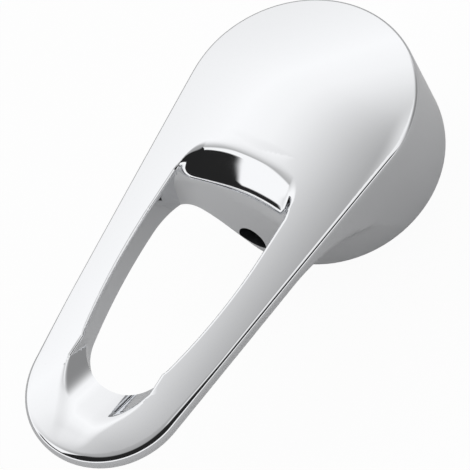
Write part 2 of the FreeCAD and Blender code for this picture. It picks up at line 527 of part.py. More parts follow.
# Square socket for the spindle, blind at its upper end
square = rule_value("Sizes.socket_width") / 2
socket_plan = new_sketch(casting, "XY_Plane", "socket_plan")
square_corners = [(-square, -square), (square, -square), (square, square), (-square, square)]
square_sides = [add_line(socket_plan, square_corners[i - 1], square_corners[i]) for i in range(4)]
for here, there in zip(square_sides, square_sides[1:] + square_sides[:1]):
    relate(socket_plan, "Coincident", here, END, there, START)
for number, direction in enumerate(("Vertical", "Horizontal", "Vertical", "Horizontal")):
    relate(socket_plan, direction, square_sides[number])
relate(socket_plan, "Symmetric", square_sides[0], END, square_sides[2], END, *ORIGIN)
dimension(socket_plan, "Sizes.socket_width", "DistanceX", square_sides[1], START, square_sides[1], END)
dimension(socket_plan, "Sizes.socket_width", "DistanceY", square_sides[2], START, square_sides[2], END)
socketed = casting.newObject("PartDesign::Pocket", "socketed")
socketed.Profile = socket_plan
socketed.Reversed = True
socketed.setExpression("Length", "Sizes.socket_top_height")

# Screw hole from the socket out through the front of the boss, and the key's hole in the skirt
screw_level = rule_value("Sizes.screw_height")
thread_section = new_sketch(casting, "XZ_Plane", "thread_section")
thread = add_circle(thread_section, (0, screw_level), rule_value("Sizes.screw_diameter") / 2)
relate(thread_section, "PointOnObject", thread, CENTRE, UP_AXIS)
dimension(thread_section, "Sizes.screw_height", "DistanceY", *ORIGIN, thread, CENTRE)
dimension(thread_section, "Sizes.screw_diameter / 2", "Radius", thread)
tapped = casting.newObject("PartDesign::Pocket", "tapped")
tapped.Profile = thread_section
tapped.Reversed = True
tapped.setExpression("Length", "Sizes.boss_radius + Sizes.cut_margin")
access_section = new_sketch(casting, "XZ_Plane", "access_section", "Sizes.bore_radius - Sizes.cut_margin")
access = add_circle(access_section, (0, screw_level), rule_value("Sizes.access_diameter") / 2)
relate(access_section, "PointOnObject", access, CENTRE, UP_AXIS)
dimension(access_section, "Sizes.screw_height", "DistanceY", *ORIGIN, access, CENTRE)
dimension(access_section, "Sizes.access_diameter / 2", "Radius", access)
pierced = casting.newObject("PartDesign::Pocket", "pierced")
pierced.Profile = access_section
pierced.Reversed = True
pierced.setExpression("Length", "Sizes.skirt_radius")
doc.recompute()

# Edges: each round is made on the edges found where the two faces that it joins meet
NEAR = 0.001


def off_crown(point):
    """Distance from the crowned top."""
    along = (tip_centre[0] - head_centre[0], tip_centre[1] - head_centre[1])
    run = (point.y - head_centre[0]) * along[0] + (point.z - head_centre[1]) * along[1]
    share = min(1, max(0, run / (along[0] ** 2 + along[1] ** 2)))
    axis_point = Vector(0, head_centre[0] + share * along[0], head_centre[1] + share * along[1])
    return abs(point.distanceToPoint(axis_point) - crown)


def off_side(point):
    """Distance from the upright side wall of the outline."""
    taper = math.radians(side_taper)
    x, y = abs(point.x), point.y
    run = -x * math.sin(taper) - y * math.cos(taper)
    if run < 0:
        return abs(math.hypot(x, y) - skirt)
    if run > reach * math.cos(taper):
        return abs(math.hypot(x, y + reach) - tip)
    return abs(x * math.cos(taper) - y * math.sin(taper) - skirt)


def edge_names(feature, *tests):
    """The names of a feature's edges whose start, middle and end all pass each test."""
    names = []
    for number, edge in enumerate(feature.Shape.Edges, start=1):
        first, last = edge.ParameterRange
        points = [edge.valueAt(place) for place in (first, (first + last) / 2, last)]
        if all(test(point) for test in tests for point in points):
            names.append("Edge%d" % number)
    return names


def round_edges(base, name, names, rule):
    """A round of one radius on the named edges of the body's last feature."""
    rounded = casting.newObject("PartDesign::Fillet", name)
    rounded.Base = (base, names)
    rounded.setExpression("Radius", rule)
    doc.recompute()
    return rounded


def under_lever(point):
    """On the lever's underside, beyond the neck and below the top."""
    return math.hypot(point.x, point.y) > under_start[0] - NEAR and off_crown(point) > NEAR


lower_names = edge_names(pierced, lambda p: off_side(p) < NEAR, under_lever)
lower_round = round_edges(pierced, "lower_round", lower_names, "Sizes.lower_edge_fillet")
crease_names = edge_names(lower_round, lambda p: off_side(p) < NEAR, lambda p: off_crown(p) < NEAR)
crease_round = round_edges(lower_round, "crease_round", crease_names, "Sizes.crease_fillet")


def in_slot(point):
    """Over the slot, the ramp or the dish."""
    return abs(point.x) < half + NEAR and point.y < -margin


slot_names = edge_names(crease_round, in_slot, lambda p: off_crown(p) < NEAR)
round_edges(crease_round, "slot_round", slot_names, "Sizes.slot_edge_fillet")

# Grub screw: turned steel, chamfered at both ends, with a hexagon socket in its outer end
screw = doc.addObject("PartDesign::Body", "grub_screw")
screw.Label = "grub_screw"
screw_radius_rule = "Sizes.screw_diameter / 2 - Sizes.screw_clearance"
screw_tip_rule = "Sizes.socket_width / 2"
screw_section = new_sketch(screw, "XZ_Plane", "screw_section", screw_tip_rule)
rod = add_circle(screw_section, (0, screw_level), rule_value(screw_radius_rule))
relate(screw_section, "PointOnObject", rod, CENTRE, UP_AXIS)
dimension(screw_section, "Sizes.screw_height", "DistanceY", *ORIGIN, rod, CENTRE)
dimension(screw_section, screw_radius_rule, "Radius", rod)
shank = screw.newObject("PartDesign::Pad", "shank")
shank.Profile = screw_section
shank.setExpression("Length", "Sizes.screw_length")
key_section = new_sketch(screw, "XZ_Plane", "key_section", screw_tip_rule + " + Sizes.screw_length")
key_corner = rule_value("Sizes.screw_key") / math.sqrt(3)
key_corners = [polar((0, screw_level), key_corner, 60 * number) for number in range(6)]
key_sides = [add_line(key_section, key_corners[number - 1], key_corners[number]) for number in range(6)]
key_circle = add_circle(key_section, (0, screw_level), key_corner)
key_section.toggleConstruction(key_circle)
for here, there in zip(key_sides, key_sides[1:] + key_sides[:1]):
    relate(key_section, "Coincident", here, END, there, START)
for side in key_sides:
    relate(key_section, "PointOnObject", side, END, key_circle)
for side in key_sides[1:]:
    relate(key_section, "Equal", side, key_sides[0])
relate(key_section, "PointOnObject", key_circle, CENTRE, UP_AXIS)
relate(key_section, "Horizontal", key_sides[2])
dimension(key_section, "Sizes.screw_height", "DistanceY", *ORIGIN, key_circle, CENTRE)
dimension(key_section, "Sizes.screw_key / sqrt(3)", "Radius", key_circle)
keyed = screw.newObject("PartDesign::Pocket", "keyed")
keyed.Profile = key_section
keyed.setExpression("Length", "Sizes.screw_key_depth")
doc.recompute()


def off_shank(point):
    """Distance from the screw's round outside."""
    return abs(math.hypot(point.x, point.z - screw_level) - rule_value(screw_radius_rule))


shank_names = edge_names(keyed, lambda p: off_shank(p) < NEAR)
end_names = [name for name in shank_names if keyed.Shape.getElement(name).isClosed()]
chamfered = screw.newObject("PartDesign::Chamfer", "chamfered")
chamfered.Base = (keyed, end_names)
chamfered.setExpression("Size", "Sizes.screw_chamfer")

# Every object has to be sound before anything is written
doc.recompute()
for item in doc.Objects:
    if "Invalid" in item.State or "Error" in item.State:
        raise RuntimeError("%s failed: %s" % (item.Name, item.State))
for body in (casting, screw):
    if body.Shape.isNull() or not body.Shape.isValid() or len(body.Shape.Solids) != 1:
        raise RuntimeError("%s is not one sound solid" % body.Label)
os.makedirs("parts", exist_ok=True)
for body in (casting, screw):
    body.Shape.exportStep("parts/%s.step" % body.Label)
    print(body.Label, round(body.Shape.Volume, 1))
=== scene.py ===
import math

import bpy
import numpy as np
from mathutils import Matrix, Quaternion, Vector
from mathutils.kdtree import KDTree


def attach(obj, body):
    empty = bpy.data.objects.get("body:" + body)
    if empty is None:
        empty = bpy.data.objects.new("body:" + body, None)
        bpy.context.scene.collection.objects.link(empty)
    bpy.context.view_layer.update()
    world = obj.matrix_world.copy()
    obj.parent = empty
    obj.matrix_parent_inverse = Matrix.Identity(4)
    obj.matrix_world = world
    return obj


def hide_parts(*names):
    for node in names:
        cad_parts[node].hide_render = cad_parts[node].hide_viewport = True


# The frame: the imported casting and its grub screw, in metres. The rim of the skirt stands on
# z = 0, the skirt's axis is the Z axis and the lever points along -Y.
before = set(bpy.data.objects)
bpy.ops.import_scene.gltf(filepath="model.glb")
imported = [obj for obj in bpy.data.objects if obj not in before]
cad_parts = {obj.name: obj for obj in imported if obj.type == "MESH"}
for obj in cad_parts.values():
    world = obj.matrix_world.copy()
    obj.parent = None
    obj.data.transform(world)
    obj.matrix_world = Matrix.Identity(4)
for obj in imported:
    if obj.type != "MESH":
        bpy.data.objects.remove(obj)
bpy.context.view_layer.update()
MM = 0.001


# Handle casting: one zinc die-casting, polished and plated with bright chrome. Its mesh is a copy of
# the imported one, merged. Buffing softens the edges where ramp, dish and wall meet the crown, so the
# copy's crown, ramp, dish and wall are drawn into one smooth skin. Sizes are in millimetres.

# Crown: a barrel round a tilted line, with a ball round each end of the line
CROWN_RADIUS = 64.0
CROWN_HEAD = np.array((0.0, -4.539136, -36.746696))
CROWN_TIP = np.array((0.0, -71.339136, -33.047045))
CAST_EASE = 0.01
CROWN_EASE = 7.0
RIDGE_HEIGHT = 27.25
RIDGE_RATE = math.tan(math.radians(3.17))

# Wall: round the head, straight along the tapered lever and round its tip
HEAD_RADIUS = 22.9
TIP_RADIUS = 15.8
TIP_REACH = 64.8

# Slot's head end: a leaning face, a rounded ledge at (y, z), and the ramp from there up to the crown.
# A channel is its floor's radius, its corners' radius, half its width and the corners' sweep.
LEDGE = (-21.3, 23.0)
LEDGE_CENTRE = (-20.4894, 22.4533)
LEDGE_ROUND = 0.9
LEDGE_RUN = 0.382
HEAD_LEAN = math.radians(11)
SLOT_CLEAR = 3.0
CAST_SLOPE = math.radians(33)
RAMP_LENGTH = 6.0
RAMP_ROLL = 3.0
RAMP_CHANNEL = (38.0, 3.6, 12.2, math.radians(75))

# Dish: a channel that climbs from its foot at (y, z) to the tip and rolls over into the crown
DISH_FOOT = (-65.5, 26.6)
DISH_SLOPE = math.radians(29)
DISH_TOP = (-70.485, 29.363)
DISH_ROLL = 12.0
DISH_ROLL_TURN = math.radians(34.46)
DISH_RUN = -9.0
DISH_CHANNEL = (40.0, 10.0, 8.8, math.radians(50))

# Past its end a roll is lifted clear of the crown, and beyond its width a channel turns up into a steep
# side. Where there is no cut at all, the distance is one plain negative value.
ROLL_LIFT = 0.15
ROLL_FADE = 0.1
SIDE_WALL = 8.0
NO_CUT = -9.0

# Buffing: the ramp comes out steeper and flatter across, and each edge is eased over a reach, which
# grows along the outer crease from the head to the tip
BUFFED_SLOPE = math.radians(35)
BUFFED_FLATNESS = 0.55
BUFFED_RAMP = 0.9
BUFFED_DISH = 0.8
BUFFED_LEDGE = 1.8
CREASE_START = -50.0
CREASE_LENGTH = 26.0
CREASE_HEAD = 0.8
CREASE_TIP = 1.8
RIM_REACH = 1.2

# Mesh: what counts as one vertex, as skin and as a packed round on it, and how finely skin is divided
MERGE_DISTANCE = 0.002
SKIN_TOLERANCE = 0.003
ROUND_TOLERANCE = 0.25
WHOLE_SHARE = 0.99
NEAR_LEDGE = 1.0
FAR_FROM_BEND = 9.0
SHORT_EDGE = 0.3
LONG_EDGE = 4.0
EDGE_GROWTH = 0.45
EDGE_SLACK = 1.5
MOST_DIVISIONS = 20
BEAUTY_ANGLE = math.radians(3)
SLOPE_STEP = 0.01
PROJECTION_STEPS = 4
NORMAL_AGREEMENT = 0.8
LEAST_LENGTH = 1e-6


def smooth(share):
    """A share from 0 to 1, eased at both ends."""
    return share * share * (3 - 2 * share)


def soft_max(first, second, reach):
    """The larger of two distances, eased from one to the other over a reach."""
    near = np.maximum(reach - np.abs(first - second), 0)
    return np.maximum(first, second) + near * near / (4 * reach)


def crown_side(points, ease):
    """How far points are outside the crown, whose ball ends are eased into the barrel over a length."""
    span = CROWN_TIP - CROWN_HEAD
    length = np.linalg.norm(span)
    along = (points - CROWN_HEAD) @ span / length
    for end, way in ((0.0, 1.0), (length, -1.0)):
        past = np.clip(way * (along - end), -ease, ease)
        eased = (past + ease) ** 2 / (4 * ease)
        along = np.where(way * (along - end) < ease, end + way * eased, along)
    axis = CROWN_HEAD + np.outer(along / length, span)
    return np.linalg.norm(points - axis, axis=1) - CROWN_RADIUS


def channel_rise(across, channel, flatness=0.0):
    """How far a round-cornered channel rises to its sides from the middle of its floor."""
    floor_radius, corner_radius, half_width, sweep = channel
    hollow = half_width - corner_radius * math.sin(sweep)
    turn = math.asin(hollow / (floor_radius - corner_radius))
    join = floor_radius * math.sin(turn)
    side = np.abs(across)
    floor = floor_radius - np.sqrt(floor_radius ** 2 - np.minimum(side, join) ** 2)
    centre = floor_radius - (floor_radius - corner_radius) * math.cos(turn)
    corner_run = np.clip(side, join, half_width) - hollow
    corner = centre - np.sqrt(corner_radius ** 2 - corner_run ** 2)
    beyond = np.maximum(side - half_width, 0) * SIDE_WALL
    return np.where(side < join, floor, corner + beyond) - flatness * floor


def above_path(points, crown, foot, slope, top, roll, roll_turn, heading):
    """How far points are above a line that climbs from its foot and rolls over into the crown, and how
    far along the line they are."""
    run = heading * (points[:, 1] - foot[0])
    rise = points[:, 2] - foot[1]
    above_line = rise * math.cos(slope) - run * math.sin(slope)
    along = run * math.cos(slope) + rise * math.sin(slope)
    top_along = heading * (top[0] - foot[0]) * math.cos(slope) + (top[1] - foot[1]) * math.sin(slope)
    roll_run = along - top_along
    above_roll = np.hypot(roll_run, above_line + roll) - roll
    turned = np.arctan2(roll_run, above_line + roll)
    fade_start = roll * math.sin(roll_turn - math.sqrt(2 * ROLL_LIFT / roll))
    past = np.maximum(roll_run - fade_start, 0)
    above_end = np.minimum(above_roll, crown - ROLL_LIFT)
    above = np.where(turned < 0, above_line, np.where(turned < roll_turn, above_roll, above_end))
    above -= ROLL_FADE * past * past
    return above, along


def head_side(points, crown, buffed):
    """How far points are out of the slot's head end, and how far they are from its ledge's bend."""
    slope = BUFFED_SLOPE if buffed else CAST_SLOPE
    rate = math.tan(slope)
    roll_turn = slope + math.atan(RIDGE_RATE)
    meeting = (RIDGE_HEIGHT - LEDGE[1] + LEDGE[0] * rate) / (rate + RIDGE_RATE)
    back = RAMP_ROLL * math.tan(roll_turn / 2)
    top = (
        meeting - back * math.cos(slope),
        RIDGE_HEIGHT - meeting * RIDGE_RATE - back * math.sin(slope),
    )
    above, along = above_path(points, crown, LEDGE, slope, top, RAMP_ROLL, roll_turn, 1)
    run = points[:, 1] - LEDGE[0]
    rise = points[:, 2] - LEDGE[1]
    in_front = rise * math.sin(HEAD_LEAN) - run * math.cos(HEAD_LEAN)
    if buffed:
        out = soft_max(above, in_front, BUFFED_LEDGE)
        flatness = BUFFED_FLATNESS * smooth(np.clip(along / RAMP_LENGTH, 0, 1))
    else:
        up_face = rise * math.cos(HEAD_LEAN) + run * math.sin(HEAD_LEAN)
        on_round = np.hypot(points[:, 1] - LEDGE_CENTRE[0], points[:, 2] - LEDGE_CENTRE[1]) - LEDGE_ROUND
        out = np.where(along > LEDGE_RUN, above, np.where(up_face < -LEDGE_RUN, in_front, on_round))
        flatness = 0.0
    side = out - channel_rise(points[:, 0], RAMP_CHANNEL, flatness)
    return np.where(in_front < SLOT_CLEAR, side, NO_CUT), np.abs(above - in_front)


def dish_side(points, crown):
    """How far points are above the dish."""
    above, along = above_path(points, crown, DISH_FOOT, DISH_SLOPE, DISH_TOP, DISH_ROLL, DISH_ROLL_TURN, -1)
    side = above - channel_rise(points[:, 0], DISH_CHANNEL)
    return np.where(along > DISH_RUN, side, NO_CUT)


def wall_side(points):
    """How far points are outside the upright wall round the head, the lever and its tip."""
    across = np.abs(points[:, 0])
    ahead = -points[:, 1]
    taper = (HEAD_RADIUS - TIP_RADIUS) / TIP_REACH
    straight = math.sqrt(1 - taper * taper)
    along = straight * ahead - taper * across
    head = np.hypot(across, ahead) - HEAD_RADIUS
    arm = straight * across + taper * ahead - HEAD_RADIUS
    tip = np.hypot(across, ahead - TIP_REACH) - TIP_RADIUS
    return np.where(along < 0, head, np.where(along < straight * TIP_REACH, arm, tip))


def skin(points, buffed):
    """How far points are outside the skin, as cast or buffed, and how far they are from its next bend."""
    crown = crown_side(points, CROWN_EASE if buffed else CAST_EASE)
    head, from_ledge = head_side(points, crown, buffed)
    dish = dish_side(points, crown)
    wall = wall_side(points)
    tip_share = smooth(np.clip((CREASE_START - points[:, 1]) / CREASE_LENGTH, 0, 1))
    crease = CREASE_HEAD + (CREASE_TIP - CREASE_HEAD) * tip_share
    if buffed:
        side = soft_max(crown, head, BUFFED_RAMP)
        side = soft_max(side, dish, BUFFED_DISH)
        side = soft_max(side, wall, crease)
    else:
        side = np.max((crown, head, dish, wall), axis=0)
    bends = (
        np.abs(crown - head) - BUFFED_RAMP,
        np.abs(crown - dish) - BUFFED_DISH,
        np.abs(crown - wall) - crease,
        np.where(np.abs(head) < NEAR_LEDGE, from_ledge - BUFFED_LEDGE, FAR_FROM_BEND),
    )
    return side, np.min(bends, axis=0)


def way_out(points):
    """The way in which each point leaves the buffed skin, as a unit vector."""
    ways = []
    for step in SLOPE_STEP * np.eye(3):
        ways.append(skin(points + step, True)[0] - skin(points - step, True)[0])
    ways = np.stack(ways, axis=1)
    return ways / np.linalg.norm(ways, axis=1, keepdims=True)


def vertex_places(mesh):
    """A mesh's vertices in millimetres."""
    places = np.empty(len(mesh.vertices) * 3)
    mesh.vertices.foreach_get("co", places)
    return places.reshape(-1, 3) / MM


def edge_ends(mesh):
    """The two vertices of each edge of a mesh."""
    ends = np.empty(len(mesh.edges) * 2, np.int32)
    mesh.edges.foreach_get("vertices", ends)
    return ends.reshape(-1, 2)


def skin_vertices(mesh):
    """Which vertices of the mesh are skin, also those that a division has added between two of them."""
    share = np.empty(len(mesh.vertices), np.float32)
    mesh.attributes["skin"].data.foreach_get("value", share)
    return share > WHOLE_SHARE


packed_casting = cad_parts["handle_casting"]
bpy.ops.object.select_all(action="DESELECT")
bpy.ops.mesh.primitive_plane_add()
casting = bpy.context.object
casting.name = "casting"
casting.data = packed_casting.data.copy()
casting.data.materials.clear()
mesh = casting.data
cast_normals = np.empty(len(mesh.loops) * 3, np.float32)
mesh.corner_normals.foreach_get("vector", cast_normals)
mesh.attributes.new("cast_normal", "FLOAT_VECTOR", "CORNER").data.foreach_set("vector", cast_normals)
bpy.context.tool_settings.mesh_select_mode = (True, False, False)
bpy.ops.object.mode_set(mode="EDIT")
bpy.ops.mesh.select_all(action="SELECT")
bpy.ops.mesh.remove_doubles(threshold=MERGE_DISTANCE * MM)
bpy.ops.object.mode_set(mode="OBJECT")

# Edges of the skin are divided until they are short enough to follow it, most of all where it bends
side, from_bend = skin(vertex_places(mesh), False)
on_packed_round = (from_bend < 0) & (np.abs(side) < ROUND_TOLERANCE)
on_skin = (np.abs(side) < SKIN_TOLERANCE) | on_packed_round
mesh.attributes.new("skin", "FLOAT", "POINT").data.foreach_set("value", on_skin.astype(np.float32))
bpy.context.tool_settings.mesh_select_mode = (False, True, False)
for division in range(MOST_DIVISIONS):
    places = vertex_places(mesh)
    ends = edge_ends(mesh)
    wanted = np.clip(SHORT_EDGE + EDGE_GROWTH * skin(places, True)[1], SHORT_EDGE, LONG_EDGE)
    lengths = np.linalg.norm(places[ends[:, 0]] - places[ends[:, 1]], axis=1)
    too_long = lengths > EDGE_SLACK * wanted[ends].min(axis=1)
    too_long &= skin_vertices(mesh)[ends].all(axis=1)
    if not too_long.any():
        break
    bpy.ops.object.mode_set(mode="EDIT")
    bpy.ops.mesh.select_all(action="DESELECT")
    bpy.ops.object.mode_set(mode="OBJECT")
    mesh.edges.foreach_set("select", too_long)
    bpy.ops.object.mode_set(mode="EDIT")
    bpy.ops.mesh.subdivide(number_cuts=1)
    bpy.ops.object.mode_set(mode="OBJECT")
places = vertex_places(mesh)
ends = edge_ends(mesh)
on_skin = skin_vertices(mesh)

# Thin triangles are turned into rounder ones, since a mirror shows each of them as a line
bpy.ops.object.mode_set(mode="EDIT")
bpy.ops.mesh.select_all(action="SELECT")
bpy.ops.mesh.quads_convert_to_tris(quad_method="BEAUTY", ngon_method="BEAUTY")
bpy.ops.mesh.beautify_fill(angle_limit=BEAUTY_ANGLE)
bpy.ops.object.mode_set(mode="OBJECT")

# The skin's vertices go onto the buffed skin, less and less towards the rim of the skin, where the
# slot's rounds and the underside begin
buffed_places = places[on_skin]
for step in range(PROJECTION_STEPS):
    buffed_places -= skin(buffed_places, True)[0][:, None] * way_out(buffed_places)
rim_edges = on_skin[ends[:, 0]] != on_skin[ends[:, 1]]
rim = ends[rim_edges].ravel()
rim = np.unique(rim[on_skin[rim]])
rim_tree = KDTree(len(rim))
for number, place in enumerate(places[rim]):
    rim_tree.insert(place, number)
rim_tree.balance()
from_rim = np.array([rim_tree.find(place)[2] for place in places[on_skin]])
move_share = smooth(np.clip(from_rim / RIM_REACH, 0, 1))[:, None]
places[on_skin] += move_share * (buffed_places - places[on_skin])
mesh.vertices.foreach_set("co", (places * MM).ravel())

# Corners that face as the buffed skin does take its own normals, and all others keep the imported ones
skin_normals = np.zeros_like(places)
skin_normals[on_skin] = way_out(buffed_places)
corners = np.empty(len(mesh.loops), np.int32)
mesh.loops.foreach_get("vertex_index", corners)
normals = np.empty(len(mesh.loops) * 3, np.float32)
mesh.attributes["cast_normal"].data.foreach_get("vector", normals)
normals = normals.reshape(-1, 3)
normals /= np.maximum(np.linalg.norm(normals, axis=1, keepdims=True), LEAST_LENGTH)
of_skin = (normals * skin_normals[corners]).sum(axis=1) > NORMAL_AGREEMENT
normals[of_skin] = skin_normals[corners][of_skin]
mesh.attributes.remove(mesh.attributes["cast_normal"])
mesh.attributes.remove(mesh.attributes["skin"])
mesh.polygons.foreach_set("use_smooth", np.ones(len(mesh.polygons), bool))
mesh.normals_split_custom_set(normals)
mesh.update()
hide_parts("handle_casting")
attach(casting, "root")


# Bright chrome plate: a mirror outside, with the faint waviness that buffing leaves. It runs thin and
# dull inside the skirt and in the key hole at its front, where no wheel or current reaches; there its colour
# is also darkened as painted shade.
def linear(colour):
    """An sRGB hex colour as linear red, green, blue and alpha."""
    parts = [int(colour[place:place + 2], 16) / 255 for place in (1, 3, 5)]
    return [p / 12.92 if p <= 0.04045 else ((p + 0.055) / 1.055) ** 2.4 for p in parts] + [1.0]


def add_node(tree, kind, settings=None, inputs=None):
    """A node with its settings, and a value or a link from another node's socket on each input."""
    node = tree.nodes.new(kind)
    for name, value in (settings or {}).items():
        setattr(node, name, value)
    for name, value in (inputs or {}).items():
        if isinstance(value, bpy.types.NodeSocket):
            tree.links.new(value, node.inputs[name])
        else:
            node.inputs[name].default_value = value
    return node


def new_material(name):
    """A material with an empty node tree."""
    material = bpy.data.materials.new(name)
    material.use_nodes = True
    material.node_tree.nodes.clear()
    return material


CHROME_PLATE = "#EDEEF0"
# Thin dull plate in the hollows, darkened further as painted shade so that the inside of the skirt and the
# key hole look dark
DULL_PLATE_AND_PAINTED_SHADE = "#595B5E"
BORE_RADIUS = 20.3 * MM
CEILING_HEIGHT = 20.1 * MM
KEY_HEIGHT = 9.5 * MM
KEY_HOLE_RADIUS = 3.02 * MM
HAZE_PATCH = 14 * MM
HAZE_DETAIL = 3
CLEAR_ROUGHNESS = 0.02
HAZY_ROUGHNESS = 0.07
DULL_ROUGHNESS = 0.42
BUFFING_WAVE = 9 * MM
WAVE_DETAIL = 1
WAVE_HEIGHT = 0.1 * MM
WAVE_STRENGTH = 0.06
CAST_GRAIN = 0.5 * MM
GRAIN_DETAIL = 4
GRAIN_HEIGHT = 0.08 * MM
GRAIN_STRENGTH = 0.5

# Sockets of a mix node that have the same names: its two values, its two colours and the mixed colour
VALUE_A, VALUE_B = 2, 3
COLOUR_A, COLOUR_B = 6, 7
MIXED_COLOUR = 2

chrome = new_material("bright_chrome_plate")
tree = chrome.node_tree
place = add_node(tree, "ShaderNodeTexCoord").outputs["Object"]
axes = add_node(tree, "ShaderNodeSeparateXYZ", inputs={"Vector": place})
across = add_node(tree, "ShaderNodeCombineXYZ", inputs={"X": axes.outputs["X"], "Y": axes.outputs["Y"]})
radius = add_node(tree, "ShaderNodeVectorMath", {"operation": "LENGTH"}, {0: across.outputs["Vector"]})
in_bore = add_node(
    tree, "ShaderNodeMath", {"operation": "LESS_THAN"}, {0: radius.outputs["Value"], 1: BORE_RADIUS}
)
under_ceiling = add_node(
    tree, "ShaderNodeMath", {"operation": "LESS_THAN"}, {0: axes.outputs["Z"], 1: CEILING_HEIGHT}
)
in_skirt = add_node(
    tree, "ShaderNodeMath", {"operation": "MULTIPLY"}, {0: in_bore.outputs[0], 1: under_ceiling.outputs[0]}
)
above_key = add_node(tree, "ShaderNodeMath", {"operation": "SUBTRACT"}, {0: axes.outputs["Z"], 1: KEY_HEIGHT})
off_key = add_node(tree, "ShaderNodeCombineXYZ", inputs={"X": axes.outputs["X"], "Z": above_key.outputs[0]})
key_radius = add_node(tree, "ShaderNodeVectorMath", {"operation": "LENGTH"}, {0: off_key.outputs["Vector"]})
on_key_line = add_node(
    tree, "ShaderNodeMath", {"operation": "LESS_THAN"}, {0: key_radius.outputs["Value"], 1: KEY_HOLE_RADIUS}
)
at_front = add_node(tree, "ShaderNodeMath", {"operation": "LESS_THAN"}, {0: axes.outputs["Y"], 1: 0.0})
in_key_hole = add_node(
    tree, "ShaderNodeMath", {"operation": "MULTIPLY"}, {0: on_key_line.outputs[0], 1: at_front.outputs[0]}
)
inside = add_node(
    tree, "ShaderNodeMath", {"operation": "MAXIMUM"}, {0: in_skirt.outputs[0], 1: in_key_hole.outputs[0]}
)
plate_colour = add_node(
    tree,
    "ShaderNodeMix",
    {"data_type": "RGBA"},
    {"Factor": inside.outputs[0], COLOUR_A: linear(CHROME_PLATE), COLOUR_B: linear(DULL_PLATE_AND_PAINTED_SHADE)},
)
haze = add_node(
    tree, "ShaderNodeTexNoise", inputs={"Vector": place, "Scale": 1 / HAZE_PATCH, "Detail": HAZE_DETAIL}
)
polish = add_node(
    tree,
    "ShaderNodeMapRange",
    inputs={"Value": haze.outputs["Fac"], "To Min": CLEAR_ROUGHNESS, "To Max": HAZY_ROUGHNESS},
)
roughness = add_node(
    tree,
    "ShaderNodeMix",
    inputs={"Factor": inside.outputs[0], VALUE_A: polish.outputs["Result"], VALUE_B: DULL_ROUGHNESS},
)
wave = add_node(
    tree, "ShaderNodeTexNoise", inputs={"Vector": place, "Scale": 1 / BUFFING_WAVE, "Detail": WAVE_DETAIL}
)
buffed_surface = add_node(
    tree,
    "ShaderNodeBump",
    inputs={"Strength": WAVE_STRENGTH, "Distance": WAVE_HEIGHT, "Height": wave.outputs["Fac"]},
)
grain = add_node(
    tree, "ShaderNodeTexNoise", inputs={"Vector": place, "Scale": 1 / CAST_GRAIN, "Detail": GRAIN_DETAIL}
)
grain_inside = add_node(
    tree, "ShaderNodeMath", {"operation": "MULTIPLY"}, {0: grain.outputs["Fac"], 1: inside.outputs[0]}
)
surface = add_node(
    tree,
    "ShaderNodeBump",
    inputs={
        "Strength": GRAIN_STRENGTH,
        "Distance": GRAIN_HEIGHT,
        "Height": grain_inside.outputs[0],
        "Normal": buffed_surface.outputs["Normal"],
    },
)
shader = add_node(
    tree,
    "ShaderNodeBsdfPrincipled",
    inputs={
        "Base Color": plate_colour.outputs[MIXED_COLOUR],
        "Metallic": 1.0,
        "Roughness": roughness.outputs[0],
        "Normal": surface.outputs["Normal"],
    },
)
add_node(tree, "ShaderNodeOutputMaterial", inputs={"Surface": shader.outputs["BSDF"]})
casting.data.materials.append(chrome)


# Grub screw: turned steel with a hexagon socket, screwed into the front of the boss until its
# tip bears on the spindle. Oil-blackened, so it is dark with a soft sheen.
BLACKENED_STEEL = "#202124"
TURNING_PITCH = 0.3 * MM
TURNING_WANDER = 0.5
TURNING_HEIGHT = 0.02 * MM
TURNING_STRENGTH = 0.3
OILED_ROUGHNESS = 0.3
DRY_ROUGHNESS = 0.45

# A wave texture at scale 1 turns through this many radians in a metre
WAVE_RATE = 20

steel = new_material("blackened_turned_steel")
tree = steel.node_tree
place = add_node(tree, "ShaderNodeTexCoord").outputs["Object"]
turning = add_node(
    tree,
    "ShaderNodeTexWave",
    {"bands_direction": "Y"},
    {"Vector": place, "Scale": 2 * math.pi / WAVE_RATE / TURNING_PITCH, "Distortion": TURNING_WANDER},
)
sheen = add_node(
    tree,
    "ShaderNodeMapRange",
    inputs={"Value": turning.outputs["Fac"], "To Min": OILED_ROUGHNESS, "To Max": DRY_ROUGHNESS},
)
ridges = add_node(
    tree,
    "ShaderNodeBump",
    inputs={"Strength": TURNING_STRENGTH, "Distance": TURNING_HEIGHT, "Height": turning.outputs["Fac"]},
)
shader = add_node(
    tree,
    "ShaderNodeBsdfPrincipled",
    inputs={
        "Base Color": linear(BLACKENED_STEEL),
        "Metallic": 1.0,
        "Roughness": sheen.outputs["Result"],
        "Normal": ridges.outputs["Normal"],
    },
)
add_node(tree, "ShaderNodeOutputMaterial", inputs={"Surface": shader.outputs["BSDF"]})
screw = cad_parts["grub_screw"]
screw.data.materials.clear()
screw.data.materials.append(steel)


# Floor: a plain matt white table. The camera sees it close to pure white with the soft shadow kept,
# and the metal sees it lit as it is, so the skirt is grey where it looks down at its own shadow.
FLOOR_COLOUR = "#D8D8D8"
FLOOR_SIZE = 4.0
WHITE_SHARE = 0.9
WHITE_LEVEL = 1.05
MIRRORED_WHITE_SHARE = 0.1

